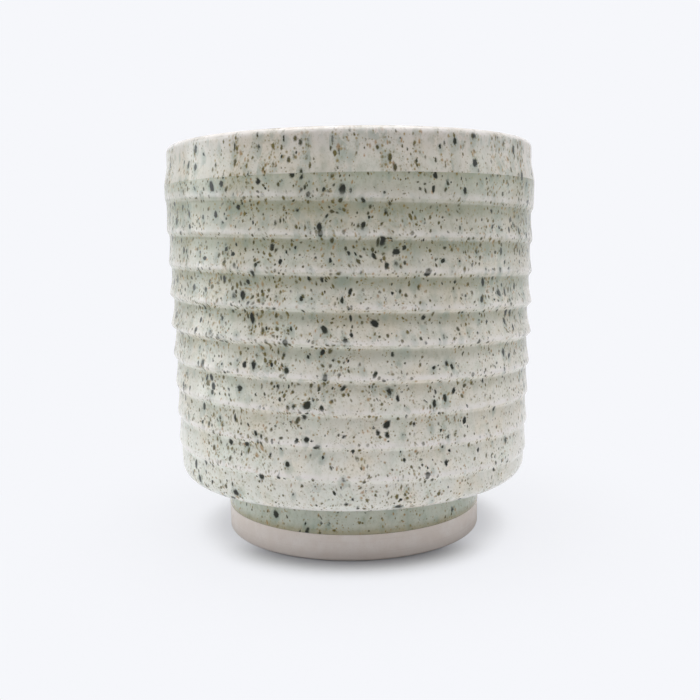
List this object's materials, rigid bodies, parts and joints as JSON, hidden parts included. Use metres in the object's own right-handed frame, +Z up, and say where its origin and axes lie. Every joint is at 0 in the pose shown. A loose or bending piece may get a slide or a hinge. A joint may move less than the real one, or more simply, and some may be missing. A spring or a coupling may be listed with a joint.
{
  "type": "tea bowl",
  "caption": "Hand-thrown handle-less tea bowl with a spiral of throwing ridges, speckled pale green glaze and a bare clay foot, for drinking tea.",
  "frame": {"origin": "centre of the foot's bottom face, on the table", "axes": "+Z up the bowl's axis, -Y towards the viewer of the picture, +X to the viewer's right"},
  "size_m": [0.0864, 0.0864, 0.09],
  "materials": {
    "body_clay": "unglazed, matt",
    "foot_clay": "turned smooth, unglazed, matt",
    "speckled_glaze": "satin gloss, speckled",
    "rim_band_glaze": "satin gloss, rust speckled",
    "liner_glaze": "satin gloss, speckled",
    "foot_band_glaze": "gloss, pooled and greener"
  },
  "bodies": {
    "root": {"thrown_body": "body_clay", "foot_ring": "foot_clay", "outer_glaze": "speckled_glaze", "rim_glaze": "rim_band_glaze", "liner_glaze": "liner_glaze", "foot_glaze": "foot_band_glaze"}
  },
  "joints": []
}
